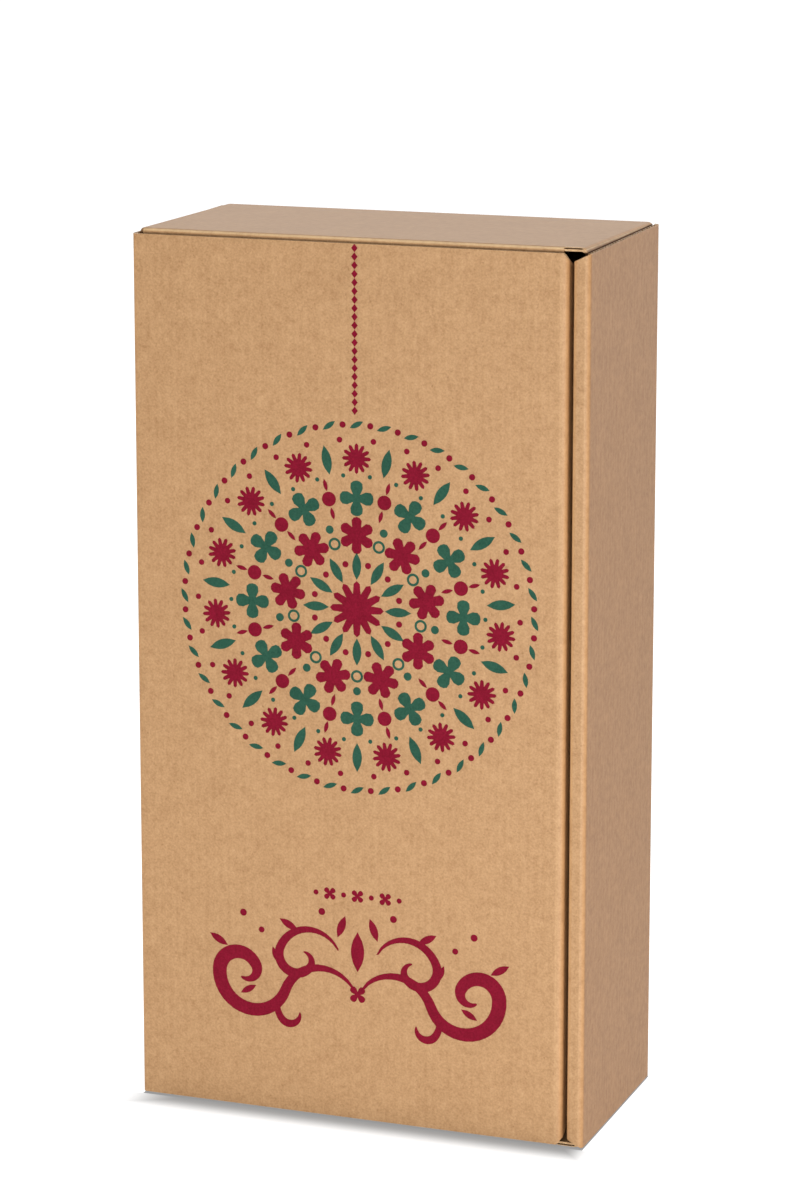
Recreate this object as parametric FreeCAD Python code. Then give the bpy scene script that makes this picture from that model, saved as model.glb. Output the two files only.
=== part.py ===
import FreeCAD, Part
import os
from math import asin, cos, pi, sin, sqrt

V = FreeCAD.Vector
os.makedirs("parts", exist_ok=True)

# A shipping box for two bottles, die-cut and folded from one sheet of thin corrugated board. It stands on
# a short end wall, and its lid opens like a door about the left front edge. The right wall is rolled over to
# two layers, and the lid's tuck flap goes in beside it. Two folded inserts hold the bottles apart and their
# necks still. X runs to the right, Y from front to back and Z up. The origin is the middle of the base.

# Board and folds, in millimetres
board = 1.6  # thickness of the corrugated board
crease_radius = 0.4  # inside of a fold
lid_crease_radius = 0.8  # inside of the softer fold between the lid and its tuck flap
flute_pitch = 3.3
liner = 0.25  # flat outer sheets of the board
medium = 0.2  # wavy middle sheet
channel_depth = 2.5  # of the flutes that stand open in a raw edge

# Inside of the box
inner_width = 183.6  # from the left wall to the rolled wall
inner_depth = 90.0  # from the lid to the back panel
inner_height = 360.0  # from the bottom wall to the top wall

# Play between layers that lie on each other
flap_play = 0.5  # dust flap to the wall outside it
roll_play = 1.7  # dust flap to the inner layer of the rolled wall
lid_play = 0.3  # lid to the return flaps behind it
insert_play = 0.3  # inserts to what stands around them
hinge_slit = 0.3  # between the lid's and the wall's halves of the hinge fold

# Ends of the side walls and of the lid
side_bottom_gap = 0.8  # side walls' raw edges, short of the end walls' outer faces
side_top_gap = 0.9
side_fall = 1.3  # how much lower the side walls' top edges are at the front than at the back
lid_top_gap = 2.2
lid_bottom_gap = 1.0
lid_gap = 1.7  # between the lid's fold and the rolled rim
lid_corner = (2.3, 3.0)  # width and height cut off the lid's free corners

# Rolled wall: width and height of the mitre at each end of its rim, and its tabs through the back panel
top_mitre = (6.6, 3.2)
bottom_mitre = (6.2, 3.3)
tab_count = 3
tab_length = 32.0
tab_taper = 2.0
slot_play = 0.3

# Flaps
tuck_depth = 28.0
tuck_taper = 9.0
tuck_corner = 8.0
return_depth = 36.0  # flaps behind the lid, down from the top wall and up from the bottom wall
return_taper = 12.0
return_corner = 5.0
corner_setback = 2.7  # raw front edge of the end walls at the right corners, behind the lid's face
liner_lift = 0.55  # that the outer liner stands off the crushed flutes there
dust_length = 60.0
dust_taper = 7.0
dust_corner = 6.0
dust_setback = 2.0  # dust flaps' front edge, behind the return flaps

# Inserts
wing_width = 60.0
shelf_height = 262.0  # underside of the neck shelf, above the bottom wall
shelf_lip = 22.0
neck_notch = 32.0  # width of a notch

over = 1.0  # that a cutter runs past what it cuts
fold = board + crease_radius  # outside radius of a fold
lid_fold = board + lid_crease_radius
half = board / 2
roll_width = 3 * board + flap_play + roll_play
left, right = -(board + inner_width + roll_width) / 2, (board + inner_width + roll_width) / 2
front, back = -(inner_depth + 2 * board) / 2, (inner_depth + 2 * board) / 2
top = inner_height + 2 * board

# Sections are drawn in a plane and extruded across it
ACROSS_Z = FreeCAD.Rotation()  # drawn in X and Y
ACROSS_X = FreeCAD.Rotation(V(1, 1, 1), 120)  # drawn in Y and Z
ACROSS_Y = FreeCAD.Rotation(V(1, 0, 0), 90)  # drawn in X and Z


def outline(corners):
    """Face bounded by straight edges with rounded corners. Each corner is (u, v, radius)."""
    count = len(corners)
    stops = []
    for i, (u, v, radius) in enumerate(corners):
        here = V(u, v, 0)
        before = (V(*corners[i - 1][:2], 0) - here).normalize()
        after = (V(*corners[(i + 1) % count][:2], 0) - here).normalize()
        if radius == 0:
            stops.append((here, None, here))
            continue
        bisector = (before + after).normalize()
        half_angle = before.getAngle(after) / 2
        reach = radius * cos(half_angle) / sin(half_angle)
        middle = here + bisector * (radius / sin(half_angle) - radius)
        stops.append((here + before * reach, middle, here + after * reach))
    edges = []
    for i, (start, middle, end) in enumerate(stops):
        if middle is not None:
            edges.append(Part.Arc(start, middle, end).toShape())
        following = stops[(i + 1) % count][0]
        if end.distanceToPoint(following) > 1e-6:
            edges.append(Part.LineSegment(end, following).toShape())
    return Part.Face(Part.Wire(edges))


def extrude(face, across, start, end):
    """Solid of a drawn section between two places on the axis that it is extruded along."""
    solid = face.extrude(V(0, 0, end - start))
    solid.translate(V(0, 0, -end if across is ACROSS_Y else start))
    solid.Placement = FreeCAD.Placement(V(0, 0, 0), across).multiply(solid.Placement)
    return solid


def prism(corners, across, start, end):
    return extrude(outline([(*corner, 0)[:3] for corner in corners]), across, start, end)


def slab(x0, x1, y0, y1, z0, z1):
    return Part.makeBox(x1 - x0, y1 - y0, z1 - z0, V(x0, y0, z0))


def folded(middle_line, across, start, end, inside_radii=None):
    """Board folded along a line through the middle of its thickness, with every fold rounded."""
    points = [V(u, v, 0) for u, v in middle_line]
    runs = [(b - a).normalize() for a, b in zip(points, points[1:])]
    inside_radii = inside_radii or [crease_radius] * (len(points) - 2)
    one_side, other_side = [], []
    for i, point in enumerate(points):
        before, after = runs[max(i - 1, 0)], runs[min(i, len(runs) - 1)]
        normal = V(-before.y - after.y, before.x + after.x, 0).normalize()
        shift = half / normal.dot(V(-before.y, before.x, 0))
        turn = before.cross(after).z
        inside = inside_radii[i - 1] if abs(turn) > 1e-9 else 0
        outside = inside + board if inside else 0
        a, b = point + normal * shift, point - normal * shift
        one_side.append((a.x, a.y, inside if turn > 0 else outside))
        other_side.append((b.x, b.y, outside if turn > 0 else inside))
    return extrude(outline(one_side + other_side[::-1]), across, start, end)


def joined(solids):
    return solids[0].fuse(solids[1:]).removeSplitter()


def without(solid, cuts):
    return solid.cut(cuts)


def channels(start, end, low, high):
    """Cutters for the open flutes of a level raw edge, between two points on the middle of the board."""
    first, last = V(*start, 0), V(*end, 0)
    length = (last - first).Length
    along = (last - first).normalize()
    side = V(-along.y, along.x, 0)
    count = int(length / flute_pitch)
    first += along * ((length - count * flute_pitch) / 2)
    wide = flute_pitch / 2 - liner
    profile = ((-wide, half - liner), (wide, half - liner), (0, liner + medium - half))
    cutters = []
    for i in range(count):
        for face, place in ((1, 0.25), (-1, 0.75)):
            middle = first + along * ((i + place) * flute_pitch)
            corners = [middle + along * u + side * (v * face) for u, v in profile]
            cutters.append(prism([(c.x, c.y) for c in corners], ACROSS_Z, low, high))
    return cutters


def end_channels(start, end, bottom_edge, top_edge, fall=0):
    """Open flutes at both ends of an upright run of board, whose top edge may fall to the front."""
    lower = channels(start, end, bottom_edge - over, bottom_edge + channel_depth)
    upper = channels(start, end, top_edge - fall - channel_depth, top_edge + over)
    return lower + upper


# Places that several pieces share
return_front = front + board + lid_play  # front face of the return flaps
end_left = left + board + flap_play + fold  # ends of the flat part of the end walls
end_right = right - board - flap_play - fold
roll_inside = right - roll_width  # inner face of the rolled wall
inner_end = back - board - slot_play  # rear edge of the rolled wall's inner layer, at the back panel
lid_right = roll_inside - lid_gap
fold_end = lid_right - lid_fold - lid_play  # of the end walls' front folds, clear of the lid's own fold
hinge_mitre = hinge_slit / 2 * sqrt(2)
hinge = (left + fold - (fold + hinge_slit / 2) / sqrt(2), front + fold - (fold + hinge_slit / 2) / sqrt(2))
tuck_lean = asin(tuck_depth / (2 * (lid_right - hinge[0])))  # keeps the flap's tip on the fold's own circle
insert_back = back - board - insert_play
insert_front = return_front + board + insert_play
divider_x = (left + board + roll_inside) / 2
shelf_z = board + shelf_height
tuck_inside = lid_right - board / cos(tuck_lean) - tuck_depth * sin(tuck_lean)


def hinge_cut(side):
    """Region beyond the mitre of the hinge fold, for the wall's half (1) or the lid's half (-1)."""
    reach = 2 * fold
    a = (left - reach - side * hinge_mitre, front - reach)
    b = (left + reach - side * hinge_mitre, front + reach)
    c = (b[0], a[1]) if side > 0 else (a[0], b[1])
    return prism([a, b, c], ACROSS_Z, -over, top + over)


def sloped_top():
    """Region above the side walls' top edges, which fall towards the front."""
    high, above = top - side_top_gap, top + over
    corners = [(front - over, high - side_fall), (front, high - side_fall), (back, high), (back + over, high)]
    corners += [(back + over, above), (front - over, above)]
    return prism(corners, ACROSS_X, left - over, right + over)


def left_wall():
    line = [(left + fold, front + half), (left + half, front + half), (left + half, back - half)]
    line.append((left + fold, back - half))
    return without(folded(line, ACROSS_Z, side_bottom_gap, top), [sloped_top(), hinge_cut(1)])


def rolled_wall():
    """Outer layer, rim and inner layer in one run of board, with the tabs at the end of the inner layer."""
    line = [(right - fold, back - half), (right - half, back - half), (right - half, front + half)]
    line += [(roll_inside + half, front + half), (roll_inside + half, inner_end)]
    wall = folded(line, ACROSS_Z, side_bottom_gap, top)
    cuts = [sloped_top()]
    start = roll_inside - over
    front_edge = top - side_top_gap - side_fall
    for edge, way, (width, height) in ((front_edge, 1, top_mitre), (side_bottom_gap, -1, bottom_mitre)):
        foot = roll_inside + min(width, roll_width)
        low = edge - way * height
        past = edge + way * (side_fall + over)
        mitre = [(start, low), (roll_inside, low), (foot, edge), (foot, past), (start, past)]
        cuts.append(prism(mitre, ACROSS_Y, front - over, front + fold))
        inner = [(start, low), (right - board, low), (right - board, past), (start, past)]
        cuts.append(prism(inner, ACROSS_Y, front + fold, inner_end + over))
    tabs = []
    for z in tab_places():
        low, high = z - tab_length / 2, z + tab_length / 2
        corners = [(inner_end - over, low), (back - board, low), (back, low + tab_taper)]
        corners += [(back, high - tab_taper), (back - board, high), (inner_end - over, high)]
        tabs.append(prism(corners, ACROSS_X, roll_inside, roll_inside + board))
    return joined([without(wall, cuts)] + tabs)


def tab_places():
    return [top * (i + 0.5) / tab_count for i in range(tab_count)]


def end_walls():
    """Back panel with the top and bottom walls, their front folds and the return flaps, in one run."""
    middle = return_front + half
    line = [(middle, top - return_depth), (middle, top - half), (back - half, top - half)]
    line += [(back - half, half), (middle, half), (middle, return_depth)]
    run = folded(line, ACROSS_X, end_left, end_right)
    panel = slab(left + fold, right - fold, back - board, back, fold, top - fold)
    fold_back = return_front + fold
    cuts = [slab(fold_end, right, front, fold_back, -over, top + over)]
    ledges = []
    for edge, way in ((top, -1), (0, 1)):
        free = edge + way * return_depth
        outside, root = edge - way * over, edge + way * fold
        kept = [(end_left, outside, 0), (fold_end, outside, 0), (fold_end, root, 0)]
        kept.append((fold_end - return_taper, free, return_corner))
        kept += [(end_left + return_taper, free, return_corner), (end_left, root, 0)]
        low, high = sorted((outside, free))
        sheet = slab(end_left - over, right, front, return_front + board, low, high)
        cuts.append(sheet.cut(prism(kept, ACROSS_Y, front - over, back)))
        low, high = sorted((edge, edge + way * board))
        ledges.append(slab(fold_end, end_right, front + corner_setback, fold_back, low, high))
    slots = []
    for z in tab_places():
        reach = tab_length / 2 + slot_play
        x0, x1 = roll_inside - slot_play, roll_inside + board + slot_play
        slots.append(slab(x0, x1, back - board - over, back + over, z - reach, z + reach))
    return without(joined([without(run, cuts), panel] + ledges), slots)


def dust_flap(side, end):
    """Flap down (end 1) or up (end -1) from an end wall, inside the right (side 1) or left wall."""
    outer = right if side > 0 else left
    flat = end_right if side > 0 else end_left
    edge = top if end > 0 else 0
    x = outer - side * (board + flap_play + half)
    line = [(flat, edge - end * half), (x, edge - end * half), (x, edge - end * dust_length)]
    flap_front = return_front + board + dust_setback
    fold_front = front + corner_setback if side > 0 else return_front + fold
    flap_back = back - fold - flap_play
    flap = folded(line, ACROSS_Y, fold_front, flap_back)
    root, tip = edge - end * fold, edge - end * dust_length
    outside = edge + end * over
    kept = [(fold_front - over, outside, 0), (fold_front - over, root, 0), (flap_front, root, 0)]
    kept += [(flap_front + dust_taper, tip, dust_corner), (flap_back - dust_taper, tip, dust_corner)]
    kept += [(flap_back, root, 0), (flap_back, outside, 0)]
    return flap.common(prism(kept, ACROSS_X, left, right))


def tray_channels():
    """Open flutes of the side walls' raw edges, and the slit under the lifted liner at the right corners."""
    low, high = side_bottom_gap, top - side_top_gap
    cutters = end_channels((left + half, front + fold), (left + half, back - fold), low, high, side_fall)
    cutters += end_channels((right - half, front + fold), (right - half, back - fold), low, high, side_fall)
    ledge = front + corner_setback
    for edge, way in ((top, -1), (0, 1)):
        near, far = sorted((edge + way * liner, edge + way * (liner + liner_lift)))
        cutters.append(slab(fold_end, end_right, ledge - over, ledge + channel_depth, near, far))
    return cutters


def tray():
    flaps = [dust_flap(side, end) for side in (1, -1) for end in (1, -1)]
    return without(joined([end_walls(), left_wall(), rolled_wall()] + flaps), tray_channels())


def lid():
    """Front panel from the hinge fold to the soft right fold, with the tuck flap behind that."""
    corner = (lid_right - half, front + half)
    tip = (corner[0] - tuck_depth * sin(tuck_lean), corner[1] + tuck_depth * cos(tuck_lean))
    line = [(left + half, front + fold), (left + half, front + half), corner, tip]
    low, high = lid_bottom_gap, top - lid_top_gap
    sheet = folded(line, ACROSS_Z, low, high, [crease_radius, lid_crease_radius])
    width, height = lid_corner
    panel = (left + fold, front + half), (lid_right - max(width, lid_fold), front + half)
    cuts = [hinge_cut(-1)] + end_channels(*panel, low, high)
    tuck_root = front + lid_fold
    for edge, way in ((high, 1), (low, -1)):
        side, past = lid_right + over, edge + way * over
        nick = [(lid_right - width, edge), (lid_right, edge - way * height), (side, edge - way * height)]
        nick += [(side, past), (lid_right - width, past)]
        cuts.append(prism(nick, ACROSS_Y, front - over, tuck_root))
    root, tip_end = height, height + tuck_taper
    kept = [(front - over, low - over, 0), (tuck_root, low - over, 0), (tuck_root, low + root, 0)]
    kept += [(tip[1], low + tip_end, tuck_corner), (tip[1], high - tip_end, tuck_corner)]
    kept += [(tuck_root, high - root, 0), (tuck_root, high + over, 0), (front - over, high + over, 0)]
    return without(sheet, cuts).common(prism(kept, ACROSS_X, left - over, right))


def bottle_divider():
    """One sheet folded to a T: two wings on the back panel and a doubled web between the bottles."""
    web = fold - half
    wing_y = insert_back - half
    tip_y = insert_front + half
    line = [(divider_x - wing_width, wing_y), (divider_x - web, wing_y), (divider_x - web, tip_y)]
    line += [(divider_x + web, tip_y), (divider_x + web, wing_y), (divider_x + wing_width, wing_y)]
    return folded(line, ACROSS_Z, board + insert_play, shelf_z - insert_play)


def neck_cradle():
    """Shelf with a notch for each neck, a tall rear wall up to the top wall and a low lip in front."""
    shelf, near, far = shelf_z + half, insert_front + half, insert_back - half
    line = [(near, shelf_z + shelf_lip), (near, shelf), (far, shelf), (far, top - board - insert_play)]
    x0 = left + 2 * board + flap_play + insert_play
    x1 = roll_inside - insert_play
    sheet = folded(line, ACROSS_X, x0, x1)
    tuck_back = front + tuck_depth + board + insert_play
    cuts = [slab(tuck_inside - insert_play, right, front, tuck_back, 0, top)]
    radius = neck_notch / 2
    for x in neck_places():
        mouth = [(x - radius, front, 0), (x + radius, front, 0), (x + radius, radius, radius)]
        mouth.append((x - radius, radius, radius))
        cuts.append(extrude(outline(mouth), ACROSS_Z, shelf_z - over, top))
    return without(sheet, cuts)


def neck_places():
    compartment = (roll_inside - left - board) / 4
    return [divider_x - compartment, divider_x + compartment]


def main():
    pieces = {"tray": tray(), "lid": lid(), "bottle_divider": bottle_divider(), "neck_cradle": neck_cradle()}
    for name, solid in pieces.items():
        print(name, solid.ShapeType, len(solid.Solids), solid.isValid(), round(solid.Volume), solid.BoundBox)
        solid.exportStep(f"parts/{name}.step")
    print("hinge at", [round(value, 3) for value in hinge], "lean", round(tuck_lean * 180 / pi, 2))


main()
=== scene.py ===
import bpy
from math import atan2, cos, pi, radians, sin, sqrt
from mathutils import Matrix, Vector


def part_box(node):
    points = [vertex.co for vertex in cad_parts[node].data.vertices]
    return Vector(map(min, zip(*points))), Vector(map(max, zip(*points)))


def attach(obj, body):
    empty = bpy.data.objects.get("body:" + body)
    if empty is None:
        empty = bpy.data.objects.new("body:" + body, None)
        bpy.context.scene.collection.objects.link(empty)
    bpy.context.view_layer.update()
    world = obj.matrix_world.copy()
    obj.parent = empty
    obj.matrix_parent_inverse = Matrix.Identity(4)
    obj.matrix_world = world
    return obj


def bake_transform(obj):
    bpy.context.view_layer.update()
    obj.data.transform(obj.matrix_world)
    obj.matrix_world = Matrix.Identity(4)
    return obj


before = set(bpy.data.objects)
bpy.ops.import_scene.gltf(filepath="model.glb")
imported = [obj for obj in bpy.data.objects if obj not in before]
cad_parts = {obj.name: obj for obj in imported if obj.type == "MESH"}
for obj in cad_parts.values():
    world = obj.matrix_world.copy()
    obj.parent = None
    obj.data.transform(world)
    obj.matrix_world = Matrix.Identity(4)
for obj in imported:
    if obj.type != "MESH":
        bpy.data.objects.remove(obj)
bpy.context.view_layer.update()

# Camera, as the photo was taken
CAMERA_PLACE = (0.5262, -1.4156, 0.5460)
CAMERA_PITCH = 10.774
CAMERA_YAW = 20.353
CAMERA_LENS = 113.14
CAMERA_SENSOR = 36.0
CAMERA_SHIFT = -0.1

# Studio
GLOW_RISE = (0.3, 0.9)
BACK_GLOW = 1.90
FRONT_GLOW = 0.83
SEEN_GLOW = 1.1
FLOOR_SIZE = 5.0
FLOOR_GLOW = 0.99
FLOOR_TONE = (0.3, 0.3, 0.3)
FLOOR_ROUGHNESS = 0.9

# Lamps: name, place, height that it aims at, size and power
LAMPS = (
    ("front_light", (0.7, -2.7, 0.45), 0.18, (1.5, 1.5), 15.5),
    ("low_light", (0.35, -0.95, 0.06), 0.06, (0.5, 0.1), 9.0),
    ("top_light", (0.0, 0.0, 2.4), 0.18, (1.5, 1.5), 40.8),
)

# Shade on the floor under the front edge: where it fades, from the box outwards
CONTACT_DEPTH = (0.001, 0.018)
CONTACT_LEFT = (0.078, 0.112)
CONTACT_RIGHT = (0.088, 0.104)
CONTACT_SHADE = 0.29

# Board and folds, in metres
BOARD = 0.0016
FOLD = 0.0020
FLUTE_PITCH = 0.0033
HINGE_SLIT = 0.0003
CREASE_LAYERS = 16
CREASE_SMOOTH = 40.0
HAIR_WIDTH = 0.000001  # points closer than this are the same

# Raw edges, as distances from the box's outside. The side walls' tops fall, so they have one for the front
# and one for the back
SIDE_BOTTOM = 0.0008
SIDE_TOP = (0.0022, 0.0009)
LEDGE = 0.0027
FLAP = 0.036
FLAP_SIDE = 0.0115
DUST = 0.060
RIM_WIDTH = 0.0085
TUCK_TIP = 0.02
SHELF_LIP_TOP = 0.2856
HAIR = 0.0003  # how far from the edge the cut's colour still shows

# Painted light in the paper: painted highlight bands along folds and painted shade in the gap beside the end
# walls
LID_BAND = 0.0850
RIM_BAND = 0.0950
BAND_FADE = (0.0007, 0.0013)
CREVICE_X = (0.0925, 0.0945)
CREVICE_SETBACK = 0.0022
CREVICE_DEPTH = 0.006
CREVICE_RISE = (-0.0006, 0.0001)

# Sizes of what shows in the paper
CLOUD_SIZE = 0.012
MOTTLE_SIZE = 0.0030
GRAIN_SIZE = 0.0009
SPECK_SIZE = 0.0013
STREAK_SIZE = 0.0016
STREAK_STRETCH = 20

# Where the noise starts and ends to make a pit or a chip, and a fold's lean to make it lighter, partly crease
# wear and partly painted highlight
PITS = (0.66, 0.78)
CHIPS = (0.68, 0.80)
FOLD_LEAN = (0.02, 0.12)

# How much each of them changes the paper's tone
CLOUD_TONE = 0.30
MOTTLE_TONE = 0.70
SIDE_MOTTLE = 0.55
GRAIN_TONE = 1.2
CHIP_TONE = 0.26
PIT_TONE = 0.30
SIDE_CALM = 0.48
END_CALM = 0.85
SIDE_STREAKS = 0.26
BACK_STREAKS = 0.55
WAVE_TONE = 0.03
# Lightening on folds: partly crease wear, partly painted highlight of the rounded folds
FOLD_WEAR_AND_HIGHLIGHT = 0.34
# Painted highlight bands beside the lid's soft fold and the rim's fold
FOLD_HIGHLIGHT = 0.24

# How much each of them stands out of the surface, and how high the tallest is
MOTTLE_RELIEF = 0.4
GRAIN_RELIEF = 0.5
PIT_RELIEF = 0.4
WAVE_RELIEF = 0.12
BOARD_BUMP = 0.00012
INK_BUMP = 0.0001

# Print on the lid
INK = 0.00004
INK_LAYER = INK / 4  # between strokes that cross
INK_OFFSET = 0.5  # three quarters of the ink stands out of the lid's face
FIGURE = 0.001  # radius of each small figure before it is placed
RING_BAND = 0.00038
DIAMOND_SHARE = 0.8
STRING_X = -0.0007
STRING_DIAMOND = 0.0017
STRING_PITCH = 0.0034
ORNAMENT_X = 0.0
ORNAMENT_Z = 0.2145
ORNAMENT_RADIUS = 0.0765
ROW_Z = 0.0955
ROW_PITCH = 0.006
ROW_STEPS = 3
ROW_CLOVER = 3.0
ROW_BERRY = 1.1
FLOURISH_Z = 0.0680
STROKE_TURN = 9.0
STROKE_TIP = 0.12
STROKE_SWELL = 0.8
PETALS = (1, 0.96, 0.84, 0.5, 0.84, 0.96)
LOBES = (1, 0.98, 0.90, 0.66, 0.30, 0.66, 0.90, 0.98)
RAYS = (1, 0.9, 0.55, 0.9)
LEAF = (1, 0.61, 0.435, 0.36, 0.34, 0.36, 0.435, 0.61)
LEAF_LEAN = 1.1

# Rings of the ornament: figure, count, radius, size, start in steps and lean
RED_RINGS = (
    ("daisy", 1, 0.0, 11.5, 0, 0), ("berry", 12, 0.0186, 1.3, 0.5, 0),
    ("flower", 9, 0.0300, 7.6, 0, 0), ("berry", 12, 0.0455, 3.0, 0.5, 0),
    ("leaf", 12, 0.0395, 2.6, 0.5, 0), ("leaf", 12, 0.0513, 2.6, 0.5, 0),
    ("daisy", 15, 0.0610, 6.2, 0, 0), ("berry", 30, 0.0686, 1.2, 0.5, 0),
    ("berry", 40, 0.0746, 1.3, 0.5, 0),
)
GREEN_RINGS = (
    ("leaf", 12, 0.0175, 5.6, 0, 0), ("ring", 9, 0.0275, 2.6, 0.5, 0),
    ("berry", 9, 0.0336, 1.7, 0.5, 0), ("clover", 12, 0.0450, 7.2, 0, 0),
    ("leaf", 15, 0.0610, 6.0, 0.5, 0), ("berry", 30, 0.0542, 0.9, 0.5, 0),
    ("leaf", 40, 0.0746, 3.2, 0, LEAF_LEAN),
)

# Scrolls on the right of the flourish: start, heading, arcs of a radius and a sweep, and width
SCROLLS = (
    ((0.0010, -0.013), 60, ((0.017, -130), (0.015, 165), (0.0085, 150), (0.0045, 150)), 0.0062),
    ((0.0080, 0.003), 66, ((0.014, -135), (0.0075, -165), (0.004, -120)), 0.0042),
    ((0.0315, -0.015), -35, ((0.009, -95), (0.0045, -150)), 0.0034),
)

# Leaves and berries round them: figure, place, turn in degrees and size
SPRIGS = (
    ("leaf", 0.0070, 0.0140, -20, 5.0), ("leaf", 0.0300, 0.0125, 62, 4.6),
    ("leaf", 0.0480, -0.0170, 120, 4.0), ("leaf", 0.0610, 0.0030, 60, 4.6),
    ("leaf", 0.0360, -0.0010, 20, 3.6), ("berry", 0.0155, 0.0195, 0, 1.5),
    ("berry", 0.0420, 0.0090, 0, 1.3), ("berry", 0.0500, 0.0155, 0, 1.5),
)
MIDDLE_SPRIGS = (("leaf", 0.0, 0.004, 0, 8.5), ("clover", 0.0, -0.014, 45, 4.0))

lid_low, lid_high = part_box("lid")
tray_low, tray_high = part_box("tray")
FRONT = lid_low[1]
LEFT = tray_low[0]
TOP = tray_high[2]
DEPTH = tray_high[1] - tray_low[1]
RIM = tray_high[0] - RIM_WIDTH


class Signal:
    """A shader socket on which Python's operators add Math nodes."""

    def __init__(self, shop, socket):
        self.shop = shop
        self.socket = socket

    def math(self, operation, *others):
        return self.shop.number(operation, self, *others)

    def __add__(self, other):
        return self.math("ADD", other)

    __radd__ = __add__

    def __sub__(self, other):
        return self.math("SUBTRACT", other)

    def __rsub__(self, other):
        return self.shop.number("SUBTRACT", other, self)

    def __mul__(self, other):
        return self.math("MULTIPLY", other)

    __rmul__ = __mul__

    def __gt__(self, other):
        return self.math("GREATER_THAN", other)

    def __lt__(self, other):
        return self.math("LESS_THAN", other)

    def __abs__(self):
        return self.math("ABSOLUTE")

    def __or__(self, other):
        return self.math("MAXIMUM", other)


class NodeShop:
    """Adds nodes to one node tree."""

    def __init__(self, tree):
        self.tree = tree

    def node(self, kind, settings, inputs, output=0):
        """Adds one node, sets what it is, then its values and links, and gives one of its outputs."""
        added = self.tree.nodes.new(kind)
        for name, value in settings.items():
            setattr(added, name, value)
        for name, value in inputs.items():
            self.feed(added.inputs[name], value)
        return Signal(self, added.outputs[output])

    def feed(self, socket, value):
        if isinstance(value, Signal):
            self.tree.links.new(value.socket, socket)
        else:
            socket.default_value = value

    def number(self, operation, *values):
        return self.node("ShaderNodeMath", {"operation": operation}, dict(enumerate(values)))

    def axes(self, vector):
        return [self.node("ShaderNodeSeparateXYZ", {}, {0: vector}, name) for name in "XYZ"]

    def stretched(self, vector, scale):
        return self.node("ShaderNodeVectorMath", {"operation": "MULTIPLY"}, {0: vector, 1: scale})

    def noise(self, vector, size, detail=2.0, roughness=0.5):
        """Soft noise whose blots are about as wide as the size says, in metres."""
        inputs = {"Vector": vector, "Scale": 1 / size, "Detail": detail, "Roughness": roughness}
        return self.node("ShaderNodeTexNoise", {}, inputs)

    def inside(self, value, low, high):
        return (value > low) * (value < high)

    def between(self, value, low, high):
        """0 up to low, 1 from high and smooth between them."""
        settings = {"interpolation_type": "SMOOTHSTEP"}
        return self.node("ShaderNodeMapRange", settings, {"Value": value, "From Min": low, "From Max": high})

    def blended(self, share, first, second):
        """A colour that goes from the first to the second."""
        return self.node("ShaderNodeMix", {"data_type": "RGBA"}, {0: share, 6: first, 7: second}, 2)


class Finish(NodeShop):
    """A material in the making, on one surface shader."""

    def __init__(self, name):
        self.material = bpy.data.materials.new(name)
        self.material.use_nodes = True
        super().__init__(self.material.node_tree)
        self.shader = self.tree.nodes["Principled BSDF"]
        self.place = self.node("ShaderNodeTexCoord", {}, {}, "Object")
        self.facing = self.node("ShaderNodeTexCoord", {}, {}, "Normal")

    def surface(self, **sockets):
        for name, value in sockets.items():
            self.feed(self.shader.inputs[name.replace("_", " ").title()], value)

    def shine(self, level):
        self.shader.inputs["Specular IOR Level"].default_value = level

    def bump(self, height, distance):
        return self.node("ShaderNodeBump", {}, {"Distance": distance, "Height": height})


def colour(red, green, blue):
    """Screen values of 0 to 255 as a shader colour."""
    shares = [value / 255 for value in (red, green, blue)]
    return tuple(s / 12.92 if s <= 0.04045 else ((s + 0.055) / 1.055) ** 2.4 for s in shares) + (1.0,)


KRAFT_DARK = colour(128, 93, 57)
KRAFT_LIGHT = colour(163, 128, 90)
CUT_DARK = colour(134, 101, 67)
CUT_LIGHT = colour(184, 153, 113)
# Painted warm bounce light on the side walls
SIDE_BOUNCE_TINT = (1.12, 1.0, 0.88)
# Painted shade for the gap beside the end walls
CREVICE_SHADE_COLOUR = colour(74, 42, 24)
RED_DARK = colour(86, 3, 21)
RED_LIGHT = colour(113, 13, 36)
GREEN_DARK = colour(22, 54, 42)
GREEN_LIGHT = colour(39, 75, 60)
KRAFT_ROUGHNESS = 0.55
KRAFT_SHINE = 0.3
INK_ROUGHNESS = 0.7
INK_SHINE = 0.06


def paper(finish):
    """What kraft paper's coarse and fine mottling add to its tone, and the relief of its surface."""
    cloud = finish.noise(finish.place, CLOUD_SIZE, 2.0)
    mottle = finish.noise(finish.place, MOTTLE_SIZE, 3.0, 0.6)
    grain = finish.noise(finish.place, GRAIN_SIZE, 2.0, 0.6)
    speck = finish.noise(finish.place, SPECK_SIZE, 1.0)
    pits = finish.between(speck, *PITS)
    chips = finish.between(1 - speck, *CHIPS)
    coarse = (cloud - 0.5) * CLOUD_TONE + (mottle - 0.5) * MOTTLE_TONE
    fine = (grain - 0.5) * GRAIN_TONE + chips * CHIP_TONE - pits * PIT_TONE
    relief = mottle * MOTTLE_RELIEF + grain * GRAIN_RELIEF - pits * PIT_RELIEF
    return coarse, fine, relief


def streaks(finish):
    """Faint lines along the flutes, which run upwards in the walls, and the washboard they press out."""
    x, y, z = finish.axes(finish.place)
    along = finish.noise(finish.stretched(finish.place, (1, 1, 1 / STREAK_STRETCH)), STREAK_SIZE, 2.0)
    waves = finish.number("SINE", (x + y) * (2 * pi / FLUTE_PITCH))
    return along, waves


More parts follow.
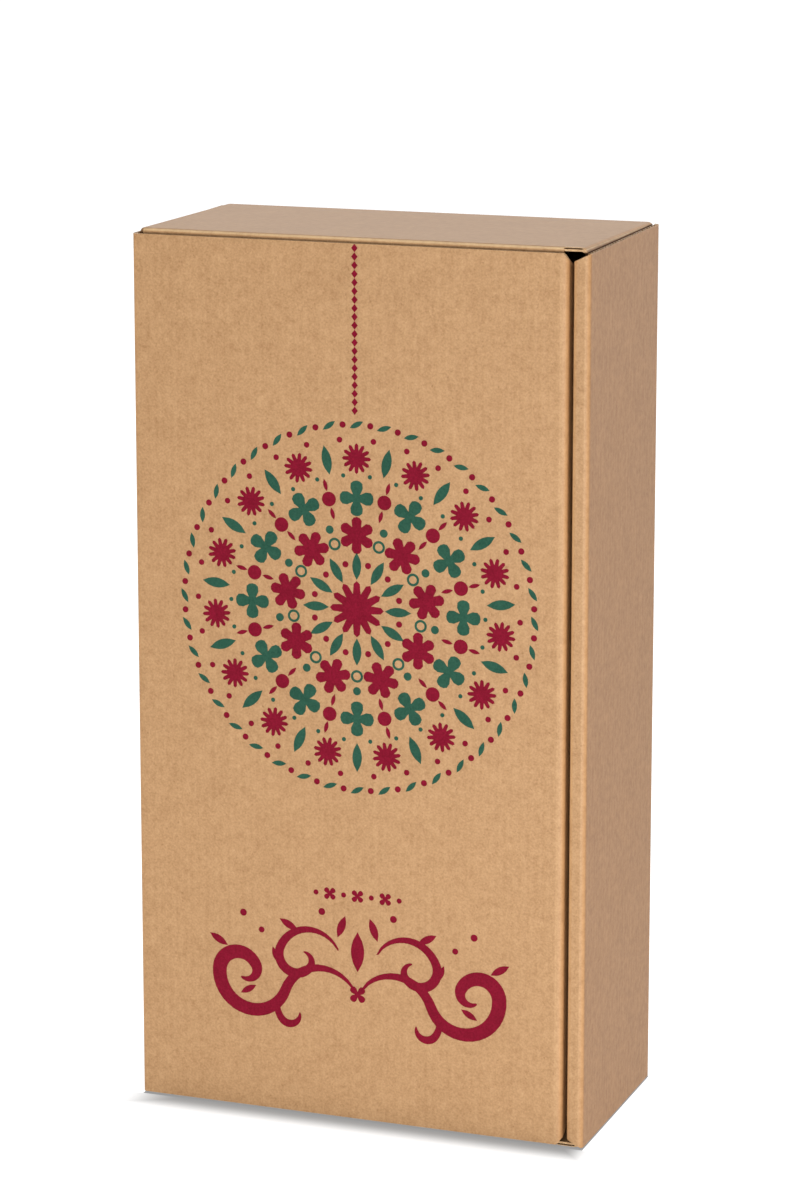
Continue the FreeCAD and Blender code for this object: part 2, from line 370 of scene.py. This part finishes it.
def fold_highlight_bands(finish):
    """Painted highlight bands along the lid's soft fold and the rolled rim's fold, on faces that look
    forwards.
    """
    x, y, z = finish.axes(finish.place)
    nx, ny, nz = finish.axes(finish.facing)
    lid_band = 1 - finish.between(abs(x - LID_BAND), *BAND_FADE)
    rim_band = 1 - finish.between(abs(x - RIM_BAND), *BAND_FADE)
    return (lid_band | rim_band) * (ny < -0.3)


def board_finish(name, raw_edges):
    """Kraft liner outside, with paler cut edges where the board's section shows. The front has the most
    grain, the side walls are streaky and the end walls plainer. Folds are lighter, partly from crease wear
    and partly from a painted highlight; the side walls get a painted warm tint that stands in for bounce
    light, and the gaps beside the end walls get painted shade."""
    finish = Finish(name)
    coarse, fine, relief = paper(finish)
    along, waves = streaks(finish)
    nx, ny, nz = finish.axes(finish.facing)
    # Faces that lean off the axes lie on folds and are lightened: partly crease wear, partly painted
    # highlight of the rounded folds
    fold_wear_and_highlight = finish.between(1 - (abs(nx) | abs(ny) | abs(nz)), *FOLD_LEAN)
    calm = abs(nx) * SIDE_CALM + abs(nz) * END_CALM
    mottled = coarse * (1 + abs(nx) * SIDE_MOTTLE) + fine * (1 - calm)
    streaked = (along - 0.5) * (abs(nx) * SIDE_STREAKS | ny * BACK_STREAKS) + waves * WAVE_TONE
    # Lighter along folds: crease wear with painted highlight, and painted highlight bands beside the lid's
    # and rim's folds
    wear_and_highlights = fold_wear_and_highlight * FOLD_WEAR_AND_HIGHLIGHT | fold_highlight_bands(finish) * FOLD_HIGHLIGHT
    tone = 0.5 + mottled + streaked + wear_and_highlights
    liner = finish.blended(tone, KRAFT_DARK, KRAFT_LIGHT)
    # The side walls get a painted warm tint that stands in for bounce light
    liner = finish.blended(abs(nx), liner, finish.stretched(liner, SIDE_BOUNCE_TINT))
    cut = finish.blended(tone, CUT_DARK, CUT_LIGHT)
    shade = finish.blended(raw_edges(finish), liner, cut)
    # Painted shade in the gap beside the end walls, made fully rough there so that no sheen shows
    gap_shade = crevice_shade(finish)
    shade = finish.blended(gap_shade, shade, CREVICE_SHADE_COLOUR)
    relief = (relief + waves * WAVE_RELIEF) * (1 - calm)
    roughness = KRAFT_ROUGHNESS + gap_shade * (1 - KRAFT_ROUGHNESS)
    finish.surface(base_color=shade, roughness=roughness, normal=finish.bump(relief, BOARD_BUMP))
    finish.shine(KRAFT_SHINE)
    return finish.material


def crevice_shade(finish):
    """Painted shade in the gap between the end walls' side folds and the side walls' edges, which fall
    towards the front.
    """
    x, y, z = finish.axes(finish.place)
    edge = TOP - SIDE_TOP[0] + (y - FRONT) * ((SIDE_TOP[0] - SIDE_TOP[1]) / DEPTH)
    inner = finish.inside(y, FRONT + CREVICE_SETBACK, FRONT + DEPTH - CREVICE_SETBACK)
    lowest = edge - z < CREVICE_DEPTH
    return finish.inside(abs(x), *CREVICE_X) * inner * finish.between(edge - z, *CREVICE_RISE) * lowest


def tray_raw_edges(finish):
    """The side walls' top and bottom ends, the end walls' front edges beside the lid's fold, and the ends of
    the return flaps and dust flaps."""
    x, y, z = finish.axes(finish.place)
    nx, ny, nz = finish.axes(finish.facing)
    upright = abs(nz) > 0.5
    wall_top = finish.inside(z, TOP - SIDE_TOP[0] - HAIR, TOP - SIDE_TOP[1] + HAIR)
    wall_end = finish.inside(z, SIDE_BOTTOM - HAIR, SIDE_BOTTOM + HAIR) | wall_top
    rim_end = (y < FRONT + FOLD) * (x > RIM)
    ledge = (ny < -0.5) * finish.inside(y, FRONT + LEDGE - HAIR, FRONT + LEDGE + HAIR)
    flap_side = (abs(nx) > 0.5) * (abs(x) < tray_high[0] - FLAP_SIDE) * (y < FRONT + 2 * FOLD)
    ends = wall_end | rim_end
    for height in (FLAP, TOP - FLAP, DUST, TOP - DUST):
        ends = ends | finish.inside(z, height - HAIR, height + HAIR)
    return upright * ends | ledge | flap_side


def lid_raw_edges(finish):
    """The lid's top and bottom ends and the tuck flap's tip."""
    x, y, z = finish.axes(finish.place)
    nx, ny, nz = finish.axes(finish.facing)
    return (abs(nz) > 0.4) | (ny > 0.5) * (y > FRONT + TUCK_TIP)


def insert_raw_edges(finish):
    """Upper edges of the neck cradle's lip and rear wall."""
    x, y, z = finish.axes(finish.place)
    nx, ny, nz = finish.axes(finish.facing)
    return (abs(nz) > 0.5) * (z > SHELF_LIP_TOP - HAIR)


def ink_finish(name, dark, light):
    """Print that soaks into the kraft, so that the paper's tone and grain come through."""
    finish = Finish(name)
    coarse, fine, relief = paper(finish)
    shade = finish.blended(0.5 + coarse + fine, dark, light)
    finish.surface(base_color=shade, roughness=INK_ROUGHNESS, normal=finish.bump(relief, INK_BUMP))
    finish.shine(INK_SHINE)
    return finish.material


def dress(piece, material):
    piece.data.materials.clear()
    piece.data.materials.append(material)


def dress_board():
    """The solids keep their shape and get their paper. Gives the lid's, for what is made like it."""
    materials = {
        "tray": board_finish("tray_kraft", tray_raw_edges),
        "lid": board_finish("lid_kraft", lid_raw_edges),
        "bottle_divider": board_finish("divider_kraft", insert_raw_edges),
        "neck_cradle": board_finish("cradle_kraft", insert_raw_edges),
    }
    for name, material in materials.items():
        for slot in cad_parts[name].material_slots:
            slot.material = material
    return materials["lid"]


def added(add, **settings):
    """Adds one primitive with nothing else selected, and applies its turn."""
    bpy.ops.object.select_all(action="DESELECT")
    add(**settings)
    bpy.ops.object.transform_apply(location=True, rotation=True, scale=True)
    return bpy.context.object


def edit(piece, wanted):
    """Goes into edit mode with the vertices selected that pass a test on their place."""
    mesh = piece.data
    mesh.polygons.foreach_set("select", [False] * len(mesh.polygons))
    mesh.edges.foreach_set("select", [False] * len(mesh.edges))
    for vertex in mesh.vertices:
        vertex.select = wanted(vertex.co)
    bpy.ops.object.mode_set(mode="EDIT")
    bpy.ops.mesh.select_mode(type="VERT")


def leave_edit():
    bpy.ops.object.mode_set(mode="OBJECT")


def rosette(points, profile, narrow=1.0, ring=0.0):
    """Flat figure with equal points. The profile gives the rim's radii from one point to the next, as shares.
    A ring above 0 leaves only a band of that width along the rim."""
    steps = points * len(profile)
    fill = "NGON" if ring else "TRIFAN"
    add = bpy.ops.mesh.primitive_circle_add
    figure = added(add, vertices=steps, radius=FIGURE, fill_type=fill, rotation=(pi / 2, 0, 0))
    for turn, share in enumerate(profile):
        if share == 1:
            continue

        def on_turn(co, turn=turn):
            step = round(atan2(co.x, co.z) / (2 * pi) * steps)
            return sqrt(co.x**2 + co.z**2) > FIGURE - HAIR_WIDTH and step % len(profile) == turn

        edit(figure, on_turn)
        bpy.ops.transform.resize(value=(share, 1, share), center_override=(0, 0, 0))
        leave_edit()
    if ring:
        edit(figure, lambda co: True)
        bpy.ops.mesh.inset(thickness=ring)
        bpy.ops.mesh.delete(type="FACE")
        leave_edit()
    if narrow != 1:
        edit(figure, lambda co: True)
        bpy.ops.transform.resize(value=(narrow, 1, 1), center_override=(0, 0, 0))
        leave_edit()
    return figure


def stroke(place, heading, arcs, width):
    """Flat stroke that swells in its middle, along arcs that follow each other. Place is x and z, heading in
    degrees from the right, and each arc is a radius and a sweep, which turns to the left above 0."""
    turn = radians(heading)
    here = Vector((place[0], 0, place[1]))
    ahead = Vector((cos(turn), 0, sin(turn)))
    add = bpy.ops.mesh.primitive_plane_add
    band = added(add, size=width, rotation=(pi / 2, -turn, 0), location=here + ahead * width / 2)
    edit(band, lambda co: (co - here).dot(ahead) > width / 2)
    bpy.ops.mesh.delete(type="VERT")
    bpy.ops.mesh.select_all(action="SELECT")
    for radius, sweep in arcs:
        side = 1 if sweep > 0 else -1
        spoke = Vector((ahead.z, 0, -ahead.x)) * radius * side
        centre = here - spoke
        steps = max(3, round(abs(sweep) / STROKE_TURN))
        angle = radians(abs(sweep))
        bpy.ops.mesh.spin(steps=steps, angle=angle, center=centre, axis=(0, side, 0))
        swung = Matrix.Rotation(radians(sweep), 3, (0, -1, 0))
        here = centre + swung @ spoke
        ahead = swung @ ahead
    leave_edit()
    last = len(band.data.vertices) // 2 - 1
    for step in range(last + 1):
        ends = [band.data.vertices[2 * step + i].co.copy() for i in (0, 1)]
        slim = STROKE_TIP + (1 - STROKE_TIP) * sin(pi * step / last) ** STROKE_SWELL
        edit(band, lambda co: (co - ends[0]).length < HAIR_WIDTH or (co - ends[1]).length < HAIR_WIDTH)
        bpy.ops.transform.resize(value=(slim, 1, slim), center_override=(ends[0] + ends[1]) / 2)
        leave_edit()
    return band


def placed(figure, x, z, turn=0.0, size=1.0, layer=0):
    """A copy of a figure with its own mesh, on the lid's face or a shade above it."""
    copy = figure.copy()
    copy.data = figure.data.copy()
    copy.location = (x, FRONT - layer * INK_LAYER, z)
    copy.rotation_euler = (0, turn, 0)
    copy.scale = (size, 1, size)
    bpy.context.collection.objects.link(copy)
    return copy


def printed(name, copies, material):
    """Joins copies of figures to one print, gives it the ink's thickness and fixes it to the lid. Flat
    figures have no outside, so their normals are recalculated once they are solids."""
    bpy.ops.object.select_all(action="DESELECT")
    for copy in copies:
        copy.select_set(True)
    bpy.context.view_layer.objects.active = copies[0]
    bpy.ops.object.join()
    piece = bpy.context.object
    bpy.ops.object.transform_apply(location=True, rotation=True, scale=True)
    thick = piece.modifiers.new("ink", "SOLIDIFY")
    thick.thickness = INK
    thick.offset = INK_OFFSET
    bpy.ops.object.modifier_apply(modifier=thick.name)
    edit(piece, lambda co: True)
    bpy.ops.mesh.normals_make_consistent(inside=False)
    leave_edit()
    piece.name = name
    dress(piece, material)
    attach(piece, "lid")


def wreaths(figures, rings):
    """Copies of figures in rings round the ornament's centre, tops outwards unless they lean."""
    copies = []
    for name, count, radius, size, first, lean in rings:
        for i in range(count):
            turn = 2 * pi * (i + first) / count
            x, z = ORNAMENT_X + radius * sin(turn), ORNAMENT_Z + radius * cos(turn)
            copies.append(placed(figures[name], x, z, turn + lean, size))
    return copies


def draw_figures():
    """Small figures that the prints are made of."""
    return {
        "berry": rosette(20, (1,)),
        "ring": rosette(24, (1,), ring=RING_BAND),
        "diamond": rosette(4, (1,), DIAMOND_SHARE),
        "flower": rosette(6, PETALS),
        "clover": rosette(4, LOBES),
        "daisy": rosette(12, RAYS),
        "leaf": rosette(2, LEAF),
    }


def print_ornament(figures, red, green):
    """Round ornament of flowers, leaves and berries, on a string of small diamonds."""
    printed("ornament_red_print", wreaths(figures, RED_RINGS), red)
    printed("ornament_green_print", wreaths(figures, GREEN_RINGS), green)
    count = int((lid_high[2] - ORNAMENT_Z - ORNAMENT_RADIUS) / STRING_PITCH)
    heights = [lid_high[2] - STRING_DIAMOND - STRING_PITCH * i for i in range(count)]
    size = STRING_DIAMOND / FIGURE
    diamonds = [placed(figures["diamond"], STRING_X, z, size=size) for z in heights]
    printed("string_print", diamonds, red)


def print_flourish(figures, red):
    """Scrolls with leaves and berries, the same to both sides."""
    copies = []
    for side in (1, -1):
        for layer, (place, heading, arcs, width) in enumerate(SCROLLS, 1):
            start = (place[0] * side, place[1])
            ways = [(radius, sweep * side) for radius, sweep in arcs]
            band = stroke(start, heading if side > 0 else 180 - heading, ways, width)
            copies.append(placed(band, 0, FLOURISH_Z, layer=layer + (side > 0) / 2))
            bpy.data.objects.remove(band)
        for name, x, z, turn, size in SPRIGS:
            copies.append(placed(figures[name], x * side, FLOURISH_Z + z, radians(turn) * side, size))
    for name, x, z, turn, size in MIDDLE_SPRIGS:
        copies.append(placed(figures[name], x, FLOURISH_Z + z, radians(turn), size))
    printed("flourish_print", copies, red)


def print_row(figures, red):
    """Short row in which clovers and berries take turns."""
    row = []
    for step in range(-ROW_STEPS + 1, ROW_STEPS, 2):
        row.append(placed(figures["clover"], ROW_PITCH * step, ROW_Z, pi / 4, ROW_CLOVER))
    for step in range(-ROW_STEPS, ROW_STEPS + 1, 2):
        row.append(placed(figures["berry"], ROW_PITCH * step, ROW_Z, size=ROW_BERRY))
    printed("row_print", row, red)


def make_hinge_crease(kraft):
    """The board inside the lid's hinge fold. It fills the slit at rest and is cut into thin layers across the
    slit.
    """
    deep = (FOLD - BOARD / 2) / sqrt(2)
    middle = (LEFT + FOLD - deep, FRONT + FOLD - deep, (lid_high[2] + lid_low[2]) / 2)
    size = (BOARD, HINGE_SLIT, lid_high[2] - lid_low[2])
    add = bpy.ops.mesh.primitive_cube_add
    crease = added(add, size=1, location=middle, rotation=(0, 0, pi / 4), scale=size)
    across = (-1 / sqrt(2), 1 / sqrt(2), 0)
    for layer in range(1, CREASE_LAYERS):
        shift = HINGE_SLIT * (layer / CREASE_LAYERS - 0.5)
        edit(crease, lambda co: True)
        cut = [place + way * shift for place, way in zip(middle, across)]
        bpy.ops.mesh.bisect(plane_co=cut, plane_no=across, threshold=HAIR_WIDTH)
        leave_edit()
    bpy.ops.object.shade_smooth_by_angle(angle=radians(CREASE_SMOOTH))
    crease.name = "hinge_crease"
    dress(crease, kraft)
    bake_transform(crease)


def lay_floor():
    """White floor with the soft shade that the box casts where it stands."""
    floor = added(bpy.ops.mesh.primitive_plane_add, size=FLOOR_SIZE)
    floor.name = "floor"
    finish = Finish("pale_floor")
    x, y, z = finish.axes(finish.place)
    away = finish.between(FRONT - y, *CONTACT_DEPTH)
    beside = finish.between(-1 * x, *CONTACT_LEFT) | finish.between(x, *CONTACT_RIGHT)
    under = (abs(x) < -LEFT) * (abs(y) < -FRONT)
    bare = (away | beside | (y > FRONT)) * (1 - under)
    shade = finish.blended(bare, (CONTACT_SHADE,) * 3 + (1,), (1, 1, 1, 1))
    finish.surface(base_color=finish.stretched(shade, FLOOR_TONE), roughness=FLOOR_ROUGHNESS)
    finish.surface(emission_color=shade, emission_strength=FLOOR_GLOW)
    dress(floor, finish.material)


def light_studio():
    """A room that glows behind the box and in front of it, with soft lights in front, low down and above."""
    world = bpy.data.worlds.new("studio")
    world.use_nodes = True
    bpy.context.scene.world = world
    shop = NodeShop(world.node_tree)
    seen = shop.node("ShaderNodeLightPath", {}, {}, "Is Camera Ray")
    way = shop.axes(shop.node("ShaderNodeTexCoord", {}, {}, "Generated"))
    behind = shop.between(way[1], *GLOW_RISE) * BACK_GLOW
    ahead = shop.between(-1 * way[1], *GLOW_RISE) * FRONT_GLOW
    glow = behind + ahead
    sky = world.node_tree.nodes["Background"]
    shop.feed(sky.inputs["Color"], (1, 1, 1, 1))
    shop.feed(sky.inputs["Strength"], glow * (1 - seen) + seen * SEEN_GLOW)
    for name, place, aim_height, size, power in LAMPS:
        lamp = bpy.data.lights.new(name, "AREA")
        lamp.shape = "RECTANGLE"
        lamp.size, lamp.size_y = size
        lamp.energy = power
        holder = bpy.data.objects.new(name, lamp)
        holder.location = place
        aim = Vector((0, 0, aim_height)) - Vector(place)
        holder.rotation_euler = aim.to_track_quat("-Z", "Y").to_euler()
        bpy.context.collection.objects.link(holder)


def set_camera():
    data = bpy.data.cameras.new("camera")
    data.lens = CAMERA_LENS
    data.sensor_width = CAMERA_SENSOR
    data.shift_y = CAMERA_SHIFT
    camera = bpy.data.objects.new("camera", data)
    camera.location = CAMERA_PLACE
    camera.rotation_euler = (radians(90 - CAMERA_PITCH), 0, radians(CAMERA_YAW))
    bpy.context.collection.objects.link(camera)
    bpy.context.scene.camera = camera
    bpy.context.scene.view_settings.view_transform = "Standard"


set_camera()
light_studio()
lay_floor()
kraft = dress_board()
make_hinge_crease(kraft)
print_red = ink_finish("red_ink", RED_DARK, RED_LIGHT)
print_green = ink_finish("green_ink", GREEN_DARK, GREEN_LIGHT)
print_figures = draw_figures()
print_ornament(print_figures, print_red, print_green)
print_flourish(print_figures, print_red)
print_row(print_figures, print_red)
for figure in print_figures.values():
    bpy.data.objects.remove(figure)
